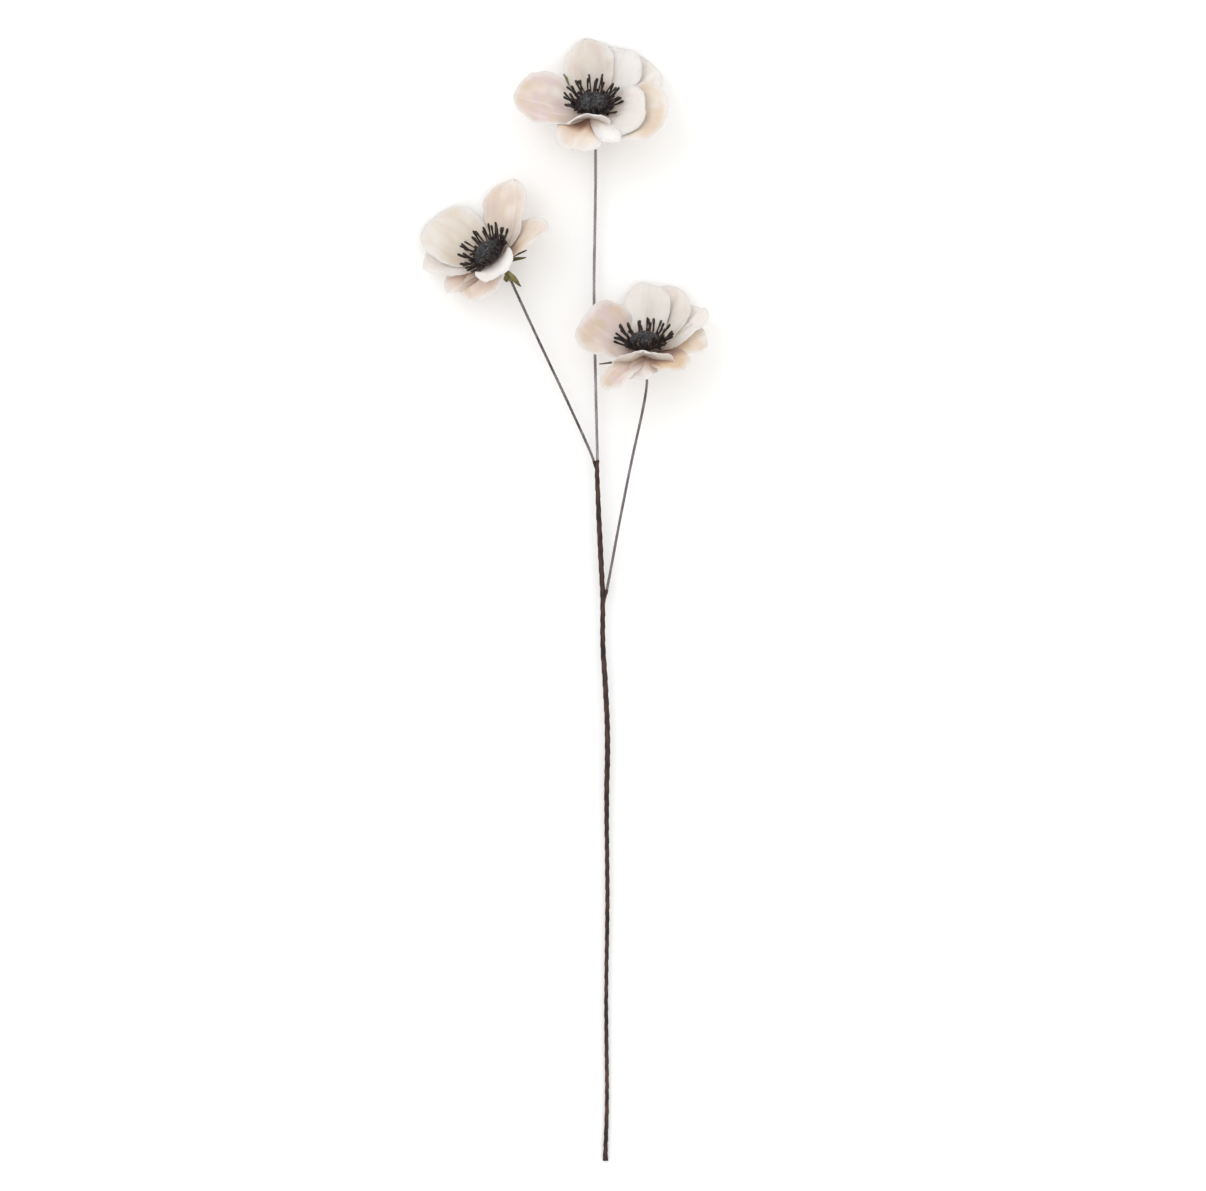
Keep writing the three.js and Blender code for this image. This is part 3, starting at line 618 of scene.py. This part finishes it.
def leaf_blade(name, root, along, face, leaf):
    """A narrow pointed leaf with a raised midrib, thickened."""
    piece, u, v = grid(name, LEAF_ACROSS, LEAF_ALONG)
    t = 2 * u - 1
    below = 0.5 + 0.5 * np.sin(math.pi / 2 * np.minimum(v / LEAF_WIDEST, 1))
    beyond = 1 - np.clip((v - LEAF_WIDEST) / (1 - LEAF_WIDEST), 0, 1) ** 1.6
    half = leaf["wide"] / 2 * np.where(v < LEAF_WIDEST, below, beyond) + LEAF_TIP
    bend = math.radians(leaf["curl"]) or 1e-3
    fold = 0.25 * half * np.abs(t) - 0.22 * np.exp(-((t / 0.22) ** 2)) * (1 - v)
    ripple = 0.12 * np.sin(9 * v + 4 * t)
    across = np.cross(face, along)
    points = (
        root
        + along * (leaf["long"] * np.sin(bend * v) / bend)[:, None]
        + face * (leaf["long"] * (1 - np.cos(bend * v)) / bend + fold + ripple)[:, None]
        + across * (half * t)[:, None]
    )
    put_points(piece, lay_down(points))
    store(piece, "leaf", np.abs(t), v, leaf.get("brown", PLAIN_BROWN))
    thicken(piece, LEAF_THICKNESS)
    return piece


def make_calyx(name, bloom, key, material, node):
    calyx, points = CALYXES[key], WIRES[key]
    turned, _ = bloom_frame(bloom)
    outside = WIRE_RADIUS[key] + SLEEVE_WALL

    def radius_at(turn, share):
        # The sleeve is moulded with shallow ribs, and each end narrows to a rounded lip.
        ribbed = 1 + 0.05 * np.sin(2 * math.pi * SLEEVE_RIBS * turn)
        return outside * ribbed * (1 - 0.22 * smooth(np.abs(share - 0.5), 0.4, 0.5))

    sleeve = rolled_tube(name, points, calyx["sleeve"], radius_at, SLEEVE_AROUND, SLEEVE_ALONG)
    store(sleeve, "leaf", 0, 0, PLAIN_BROWN)
    made = [sleeve]
    for number, leaf in enumerate(calyx["leaves"]):
        centre, wire_along, _, _ = (value[0] for value in line_frames(points, np.array([leaf["at"]])))
        axis = -wire_along
        first = unit(turned[0] - axis * np.dot(turned[0], axis))
        second = np.cross(axis, first)
        turn, climb = math.radians(leaf["turn"]), math.radians(leaf["climb"])
        out = first * math.cos(turn) + second * math.sin(turn)
        along = out * math.cos(climb) + axis * math.sin(climb)
        face = axis * math.cos(climb) - out * math.sin(climb)
        made.append(leaf_blade(f"{name}_{number}", centre + out * (outside - 0.3), along, face, leaf))
    settle(join(name, made), material, node)


# The stem and wires
TAPE_PITCH = 8.5  # how far apart the tape's turns lie
TAPE_EDGE = 0.27  # how high the edge of a turn stands
TAPE_SINK = 0.12  # how far below the stem's plain radius the tape lies between its edges
PAPER_PITCH = 3.2  # how far apart the turns of paper on a branch wire lie
WIRE_TUCK = 1.5  # how far a branch wire runs on inside the tape
STEM_AROUND = 28
STEM_ALONG = 860
STUB_AROUND = 20
STUB_ALONG = 24
WIRE_AROUND = 16
WIRE_ROW = 0.8  # how far apart a branch wire's rings are


def taped(name, stations, around, along):
    """A tape-wound length of stem: a raised overlap winds round it, and the wires under it show as lumps."""
    far = walked(stations)
    radii = [station[3] for station in stations]

    def radius_at(turn, share):
        way = share * far[-1]
        plain = np.interp(way, far, radii)
        wound = (way / TAPE_PITCH + turn) % 1
        overlap = smooth(wound, 0, 0.16) * (1 - smooth(wound, 0.12, 1))
        lumps = 0.07 * np.sin(way / 13 + 1.3) + 0.05 * np.sin(way / 4.7 + 2 * math.pi * turn)
        return plain - TAPE_SINK + TAPE_EDGE * overlap + lumps * np.minimum(plain - 0.9, 1)

    return rolled_tube(name, stations, (0, len(stations) - 1), radius_at, around, along)


def make_stem(material):
    parts = [
        taped("stem", STEM, STEM_AROUND, STEM_ALONG),
        taped("left_stub", LEFT_STUB, STUB_AROUND, STUB_ALONG),
        taped("right_stub", RIGHT_STUB, STUB_AROUND, STUB_ALONG),
    ]
    settle(join("taped_main_stem", parts), material, "main_stem")


def make_wire(key, material):
    end, before = np.array(WIRES[key][-1]), np.array(WIRES[key][-2])
    points = [*WIRES[key], end + WIRE_TUCK * unit(end - before)]
    length = walked(points)[-1]

    def radius_at(turn, share):
        # Thin paper is wound tight round the wire, so its turns only just show.
        way = share * length
        turns = 0.05 * np.sin(2 * math.pi * (way / PAPER_PITCH + turn))
        return WIRE_RADIUS[key] * (1 + turns + 0.03 * np.sin(way / 5.0))

    rows = int(length / WIRE_ROW)
    wire = rolled_tube(f"branch_wire_{key}", points, (0, len(points) - 1), radius_at, WIRE_AROUND, rows)
    store(wire, "paint", PALE_PAINT[key])
    settle(wire, material, f"branch_{key}")


# Materials
def linear(hex_colour):
    """A colour as written in hex sRGB, as the linear numbers that a shader takes."""
    parts = [int(hex_colour[i:i + 2], 16) / 255 for i in (1, 3, 5)]
    return (*[p / 12.92 if p <= 0.04045 else ((p + 0.055) / 1.055) ** 2.4 for p in parts], 1.0)


def add(tree, kind, inputs=None, **settings):
    """Adds a node. Its inputs are values, or sockets of other nodes to link."""
    node = tree.nodes.new("ShaderNode" + kind)
    for name, value in settings.items():
        setattr(node, name, value)
    for key, value in (inputs or {}).items():
        if isinstance(value, bpy.types.NodeSocket):
            tree.links.new(value, node.inputs[key])
        else:
            node.inputs[key].default_value = value
    return node


def new_material(name, **shader):
    """A material, its nodes and its shader, with plain values set on the shader's own sockets."""
    material = bpy.data.materials.new(name)
    material.use_nodes = True
    tree = material.node_tree
    principled = tree.nodes["Principled BSDF"]
    for key, value in shader.items():
        principled.inputs[key.replace("_", " ")].default_value = value
    return material, tree, principled


FACTOR, FIRST, SECOND, MIXED = 0, 6, 7, 2  # the sockets of a colour Mix node


def petal_cloth():
    # Polyester satin, heat-pressed and airbrushed: matt, near white towards the cut rim, sprayed beige and
    # mauve in the middle, with mauve or amber running to brown at the root, partly spray and partly painted
    # shade.
    material, tree, shader = new_material(
        "airbrushed_polyester_cloth", Roughness=0.8, Specular_IOR_Level=0.2, Sheen_Weight=0.15,
        Sheen_Roughness=0.5, Subsurface_Weight=0.5, Subsurface_Scale=0.002,
        Subsurface_Radius=(1.0, 1.0, 1.0))
    cloth = add(tree, "Attribute", attribute_name="cloth").outputs["Vector"]
    parts = add(tree, "SeparateXYZ", {0: cloth})
    own = add(tree, "SeparateXYZ", {0: add(tree, "Attribute", attribute_name="petal").outputs["Vector"]})
    spray = add(tree, "SeparateXYZ", {0: add(tree, "Attribute", attribute_name="spray").outputs["Vector"]})
    along, fan, rim, reach = parts.outputs[1], own.outputs[0], own.outputs[1], own.outputs[2]
    peach, mauve, warmth = spray.outputs[0], spray.outputs[1], spray.outputs[2]
    fan_place = add(tree, "CombineXYZ", {0: fan, 1: along, 2: parts.outputs[2]}).outputs[0]
    # Airbrushed blotches, about 22 mm across. The cloth's own coordinates are in millimetres.
    blotch = add(tree, "TexNoise", {"Vector": cloth, "Scale": 0.045, "Detail": 2.0}).outputs["Fac"]
    spread = add(tree, "MapRange", {"Value": blotch, "From Min": 0.3, "From Max": 0.6, "To Min": 0.4})
    sprayed = add(tree, "Math", {0: spread.outputs[0], 1: peach}, operation="MULTIPLY").outputs[0]
    beige = add(tree, "Mix", {FACTOR: warmth, FIRST: linear("#CCB8A5"), SECOND: linear("#CDB28F")},
                data_type="RGBA")
    body = add(tree, "Mix", {FACTOR: sprayed, FIRST: linear("#F1ECE6"), SECOND: beige.outputs[MIXED]},
               data_type="RGBA")
    # A second, cooler spray in smaller spots, about 13 mm across.
    spot = add(tree, "TexNoise", {"Vector": cloth, "Scale": 0.075, "Detail": 1.0}).outputs["Fac"]
    spots = add(tree, "MapRange", {"Value": spot, "From Min": 0.35, "From Max": 0.62}).outputs[0]
    cooled = add(tree, "Math", {0: spots, 1: mauve}, operation="MULTIPLY").outputs[0]
    pinker = add(tree, "Mix", {FACTOR: cooled, FIRST: body.outputs[MIXED], SECOND: linear("#D2BEBB")},
                 data_type="RGBA")
    # Colour drawn out along the threads in soft streaks 2 to 4 mm wide, some dark and some pale.
    stretched = add(tree, "Mapping", {"Vector": fan_place, "Scale": (0.22, 0.025, 1.0)}).outputs[0]
    streak = add(tree, "TexNoise", {"Vector": stretched, "Scale": 1.0, "Detail": 3.0}).outputs["Fac"]
    dark = add(tree, "MapRange", {"Value": streak, "From Min": 0.5, "From Max": 0.75, "To Max": 0.3})
    veined = add(tree, "Mix", {FACTOR: dark.outputs[0], FIRST: pinker.outputs[MIXED],
                               SECOND: linear("#CDB8A8")}, data_type="RGBA")
    pale = add(tree, "MapRange", {"Value": streak, "From Min": 0.45, "From Max": 0.28, "To Max": 0.3})
    streaked = add(tree, "Mix", {FACTOR: pale.outputs[0], FIRST: veined.outputs[MIXED],
                                 SECOND: linear("#EFEAE6")}, data_type="RGBA")
    # Towards the rim the cloth is unsprayed and cooler, with a thin grey cut edge.
    bare = add(tree, "Math", {0: blotch, 1: 9.0, 2: rim}, operation="MULTIPLY_ADD").outputs[0]
    outer = add(tree, "MapRange", {"Value": bare, "From Min": 10.2, "From Max": 3.6, "To Max": 0.75},
                interpolation_type="SMOOTHSTEP")
    rimmed = add(tree, "Mix", {FACTOR: outer.outputs[0], FIRST: streaked.outputs[MIXED],
                               SECOND: linear("#DFDBD8")}, data_type="RGBA")
    cut = add(tree, "MapRange", {"Value": rim, "From Min": 2.0, "From Max": 0.3, "To Max": 0.5})
    edged = add(tree, "Mix", {FACTOR: cut.outputs[0], FIRST: rimmed.outputs[MIXED],
                              SECOND: linear("#D8D4D1")}, data_type="RGBA")
    # The root, sprayed darker, with the spray running out along the threads. Its darker, more amber inner
    # part is painted shade, where the eye and the petals above shade the root.
    ragged = add(tree, "Math", {0: streak, 1: 9.0, 2: along}, operation="MULTIPLY_ADD").outputs[0]
    run = add(tree, "Math", {0: ragged, 1: reach}, operation="SUBTRACT").outputs[0]
    outer_root_tint_and_shade = add(tree, "MapRange", {"Value": run, "From Min": 28.0, "From Max": 14.0, "To Max": 0.7},
                   interpolation_type="SMOOTHSTEP")
    # Painted shade near the eye, mauve-brown or amber, over the root's own spray.
    inner_root_tint_and_shade = add(tree, "MapRange", {"Value": run, "From Min": 18.0, "From Max": 7.0, "To Max": 0.95},
                    interpolation_type="SMOOTHSTEP")
    pale_root_and_shade_colour = add(tree, "Mix", {FACTOR: warmth, FIRST: linear("#D8C3B6"), SECOND: linear("#CFAC88")},
                    data_type="RGBA")
    deep_root_and_shade_colour = add(tree, "Mix", {FACTOR: warmth, FIRST: linear("#B39A90"), SECOND: linear("#7A4F30")},
                    data_type="RGBA")
    with_outer_root_tint_and_shade = add(tree, "Mix", {FACTOR: outer_root_tint_and_shade.outputs[0], FIRST: edged.outputs[MIXED],
                               SECOND: pale_root_and_shade_colour.outputs[MIXED]}, data_type="RGBA")
    with_root_tint_and_shade = add(tree, "Mix", {FACTOR: inner_root_tint_and_shade.outputs[0], FIRST: with_outer_root_tint_and_shade.outputs[MIXED],
                             SECOND: deep_root_and_shade_colour.outputs[MIXED]}, data_type="RGBA")
    tree.links.new(with_root_tint_and_shade.outputs[MIXED], shader.inputs["Base Color"])
    # Threads, drawn 1 mm apart, three times as coarse as real ones, so that they show close up.
    warp = add(tree, "TexWave", {"Vector": cloth, "Scale": 0.32, "Distortion": 0.6}, bands_direction="X")
    weft = add(tree, "TexWave", {"Vector": cloth, "Scale": 0.32, "Distortion": 0.6}, bands_direction="Y")
    weave = add(tree, "Math", {0: warp.outputs["Fac"], 1: weft.outputs["Fac"]}, operation="MULTIPLY")
    relief = add(tree, "Math", {0: streak, 1: 4.0, 2: weave.outputs[0]}, operation="MULTIPLY_ADD").outputs[0]
    bump = add(tree, "Bump", {"Strength": 0.4, "Distance": 0.00012, "Height": relief})
    tree.links.new(bump.outputs[0], shader.inputs["Normal"])
    return material


def dark_pad():
    # Crushed black paper over foam, dry and soft. Grey is a painted highlight where its crinkles, 2 to 3 mm
    # wide, would catch light, and near black is painted shade in the creases between them.
    material, tree, shader = new_material("crushed_black_paper", Roughness=0.8)
    place = add(tree, "TexCoord").outputs["Object"]
    crinkle = add(tree, "TexNoise", {"Vector": place, "Scale": 420.0, "Detail": 4.0})
    bent = add(tree, "VectorMath", {0: crinkle.outputs["Color"], 1: (0.004, 0.004, 0.004), 2: place},
               operation="MULTIPLY_ADD").outputs[0]
    crease = add(tree, "TexVoronoi", {"Vector": bent, "Scale": 330.0}, feature="DISTANCE_TO_EDGE").outputs[0]
    lit = add(tree, "Math", {0: crinkle.outputs["Fac"], 1: 0.9, 2: crease},
              operation="MULTIPLY_ADD").outputs[0]
    # Painted highlight on the crinkles' tops and painted shade in their creases.
    shade = add(tree, "MapRange", {"Value": lit, "From Min": 0.46, "From Max": 0.8})
    colour = add(tree, "Mix", {FACTOR: shade.outputs[0], FIRST: linear("#100E0F"),
                               SECOND: linear("#525053")}, data_type="RGBA")
    tree.links.new(colour.outputs[MIXED], shader.inputs["Base Color"])
    bump = add(tree, "Bump", {"Strength": 0.9, "Distance": 0.0005, "Height": lit})
    tree.links.new(bump.outputs[0], shader.inputs["Normal"])
    return material


def stamen_thread():
    # Waxed cotton thread dipped in dark dye: purple-brown below, near black and slightly shiny at the tip,
    # with fibres 0.4 mm wide.
    material, tree, shader = new_material("waxed_cotton_thread", Roughness=0.5)
    own = add(tree, "SeparateXYZ", {0: add(tree, "Attribute", attribute_name="stamen").outputs["Vector"]})
    dip = add(tree, "MapRange", {"Value": own.outputs[0], "From Min": 0.15, "From Max": 0.6})
    dyed = add(tree, "Mix", {FACTOR: dip.outputs[0], FIRST: linear("#4A343A"), SECOND: linear("#1C1310")},
               data_type="RGBA")
    # A quarter of them took less dye.
    paler = add(tree, "MapRange", {"Value": own.outputs[1], "From Min": 0.75, "From Max": 1.0,
                                   "To Max": 0.25})
    varied = add(tree, "Mix", {FACTOR: paler.outputs[0], FIRST: dyed.outputs[MIXED],
                               SECOND: linear("#6B5A50")}, data_type="RGBA")
    tree.links.new(varied.outputs[MIXED], shader.inputs["Base Color"])
    place = add(tree, "TexCoord").outputs["Object"]
    fibre = add(tree, "TexNoise", {"Vector": place, "Scale": 2600.0, "Detail": 2.0}).outputs["Fac"]
    bump = add(tree, "Bump", {"Strength": 0.5, "Distance": 0.0002, "Height": fibre})
    tree.links.new(bump.outputs[0], shader.inputs["Normal"])
    return material


def green_plastic():
    # Moulded polyethylene, hand-tinted: olive with a mottle of about 4 mm, darker at a leaf's edges and
    # brown towards its tip.
    material, tree, shader = new_material("moulded_olive_polyethylene", Roughness=0.48)
    own = add(tree, "SeparateXYZ", {0: add(tree, "Attribute", attribute_name="leaf").outputs["Vector"]})
    place = add(tree, "TexCoord").outputs["Object"]
    mottle = add(tree, "TexNoise", {"Vector": place, "Scale": 230.0, "Detail": 5.0}).outputs["Fac"]
    tint = add(tree, "MapRange", {"Value": mottle, "From Min": 0.3, "From Max": 0.7})
    olive = add(tree, "Mix", {FACTOR: tint.outputs[0], FIRST: linear("#66602F"), SECOND: linear("#A39A5C")},
                data_type="RGBA")
    edge = add(tree, "MapRange", {"Value": own.outputs[0], "From Min": 0.55, "From Max": 1.0, "To Max": 0.7})
    lined = add(tree, "Mix", {FACTOR: edge.outputs[0], FIRST: olive.outputs[MIXED],
                              SECOND: linear("#4B4222")}, data_type="RGBA")
    end = add(tree, "MapRange", {"Value": own.outputs[1], "From Min": own.outputs[2], "From Max": 1.0,
                                 "To Max": 0.9})
    tipped = add(tree, "Mix", {FACTOR: end.outputs[0], FIRST: lined.outputs[MIXED],
                               SECOND: linear("#4A3728")}, data_type="RGBA")
    tree.links.new(tipped.outputs[MIXED], shader.inputs["Base Color"])
    bump = add(tree, "Bump", {"Strength": 0.4, "Distance": 0.0003, "Height": mottle})
    tree.links.new(bump.outputs[0], shader.inputs["Normal"])
    return material


def stem_tape():
    # Waxed crepe tape wound over steel wires: dull brown, worn paler in streaks about 2 mm wide and 9 mm
    # long, with fine creping.
    material, tree, shader = new_material(
        "waxed_crepe_paper_tape", Roughness=0.62, Specular_IOR_Level=0.35)
    place = add(tree, "TexCoord").outputs["Object"]
    long_place = add(tree, "Mapping", {"Vector": place, "Scale": (1.0, 0.25, 1.0)}).outputs[0]
    worn = add(tree, "TexNoise", {"Vector": long_place, "Scale": 420.0, "Detail": 4.0}).outputs["Fac"]
    tint = add(tree, "MapRange", {"Value": worn, "From Min": 0.35, "From Max": 0.68})
    colour = add(tree, "Mix", {FACTOR: tint.outputs[0], FIRST: linear("#1E100B"), SECOND: linear("#4D342A")},
                 data_type="RGBA")
    tree.links.new(colour.outputs[MIXED], shader.inputs["Base Color"])
    bump = add(tree, "Bump", {"Strength": 0.7, "Distance": 0.0003, "Height": worn})
    tree.links.new(bump.outputs[0], shader.inputs["Normal"])
    return material


def wire_coat():
    # Steel wire covered in thin paper and painted: grey-brown, smoother and paler than the taped stem, with
    # long brush marks 2 mm wide.
    material, tree, shader = new_material("painted_paper_covered_wire", Roughness=0.5)
    place = add(tree, "TexCoord").outputs["Object"]
    long_place = add(tree, "Mapping", {"Vector": place, "Scale": (1.0, 0.15, 1.0)}).outputs[0]
    worn = add(tree, "TexNoise", {"Vector": long_place, "Scale": 500.0, "Detail": 3.0}).outputs["Fac"]
    tint = add(tree, "MapRange", {"Value": worn, "From Min": 0.35, "From Max": 0.65})
    paint = add(tree, "SeparateXYZ", {0: add(tree, "Attribute", attribute_name="paint").outputs["Vector"]})
    dark = add(tree, "Mix", {FACTOR: tint.outputs[0], FIRST: linear("#3C3233"), SECOND: linear("#776C6D")},
               data_type="RGBA")
    pale = add(tree, "Mix", {FACTOR: tint.outputs[0], FIRST: linear("#766B6D"), SECOND: linear("#A0979A")},
               data_type="RGBA")
    colour = add(tree, "Mix", {FACTOR: paint.outputs[0], FIRST: dark.outputs[MIXED],
                               SECOND: pale.outputs[MIXED]}, data_type="RGBA")
    tree.links.new(colour.outputs[MIXED], shader.inputs["Base Color"])
    bump = add(tree, "Bump", {"Strength": 0.4, "Distance": 0.0002, "Height": worn})
    tree.links.new(bump.outputs[0], shader.inputs["Normal"])
    return material


def floor_paint():
    # Matt white studio board with the faintest mottle, a third of a metre across.
    material, tree, shader = new_material("matt_white_studio_board", Roughness=0.9)
    place = add(tree, "TexCoord").outputs["Object"]
    mottle = add(tree, "TexNoise", {"Vector": place, "Scale": 3.0}).outputs["Fac"]
    colour = add(tree, "Mix", {FACTOR: mottle, FIRST: linear("#FAFAF9"), SECOND: linear("#FEFEFD")},
                 data_type="RGBA")
    tree.links.new(colour.outputs[MIXED], shader.inputs["Base Color"])
    return material


# Studio, with places and sizes in metres
FLOOR_SIZE = 12
WORLD_LIGHT = 1.05
SPRAY_MIDDLE = (0, 0.1, 0)  # what the lamps are turned to
FAR_SIGHT = 50  # how far the camera sees


def make_camera():
    camera = bpy.data.objects.new("camera", bpy.data.cameras.new("camera"))
    bpy.context.scene.collection.objects.link(camera)
    across = (MIDDLE_PIXEL[0] - ORIGIN_PIXEL[0]) * PIXEL
    along = (ORIGIN_PIXEL[1] - MIDDLE_PIXEL[1]) * PIXEL
    camera.location = (across * MM, along * MM, CAMERA_HEIGHT * MM)
    camera.data.sensor_fit = "HORIZONTAL"
    camera.data.sensor_width = SENSOR_WIDTH
    camera.data.lens = SENSOR_WIDTH * CAMERA_HEIGHT / (PHOTO_WIDTH * PIXEL)
    camera.data.clip_end = FAR_SIGHT
    bpy.context.scene.camera = camera


def make_floor(material):
    deselect()
    bpy.ops.mesh.primitive_plane_add(size=FLOOR_SIZE)
    floor = bpy.context.object
    floor.name = "floor"
    floor.data.materials.append(material)


def make_lamp(name, place, size, power):
    """A square soft box, turned to the spray."""
    lamp = bpy.data.objects.new(name, bpy.data.lights.new(name, "AREA"))
    bpy.context.scene.collection.objects.link(lamp)
    lamp.location = place
    lamp.data.size = size
    lamp.data.energy = power
    lamp.rotation_euler = (Vector(SPRAY_MIDDLE) - Vector(place)).to_track_quat("-Z", "Y").to_euler()


def make_light():
    world = bpy.data.worlds.new("studio")
    bpy.context.scene.world = world
    world.use_nodes = True
    background = world.node_tree.nodes["Background"]
    background.inputs["Color"].default_value = (1.0, 1.0, 1.0, 1.0)
    background.inputs["Strength"].default_value = WORLD_LIGHT
    make_lamp("key", place=(-1.6, 1.3, 2.2), size=2.0, power=11)
    make_lamp("fill", place=(0.7, -1.9, 1.4), size=1.6, power=6)
    bpy.context.scene.view_settings.view_transform = "Standard"


make_camera()
make_light()
make_floor(floor_paint())

cloth, pad, thread, green, coat = petal_cloth(), dark_pad(), stamen_thread(), green_plastic(), wire_coat()
pattern = stamen_pattern()
for n, (key, bloom) in enumerate(BLOOMS.items()):
    for number, petal in enumerate(bloom["petals"], 1):
        make_petal(f"petal_{key}_{number}", bloom, petal, 10 * n + number, cloth, f"petals_{key}")
    make_hub(f"hub_{key}", bloom, green, f"petals_{key}")
    make_pad(f"eye_pad_{key}", bloom, PAD_SEED + n, pad, f"eye_{key}")
    make_stamens(f"stamens_{key}", bloom, STAMEN_SEED + n, pattern, thread, f"eye_{key}")
    make_calyx(f"calyx_{key}_leaves", bloom, key, green, f"calyx_{key}")
    make_wire(key, coat)
bpy.data.objects.remove(pattern)
make_stem(stem_tape())
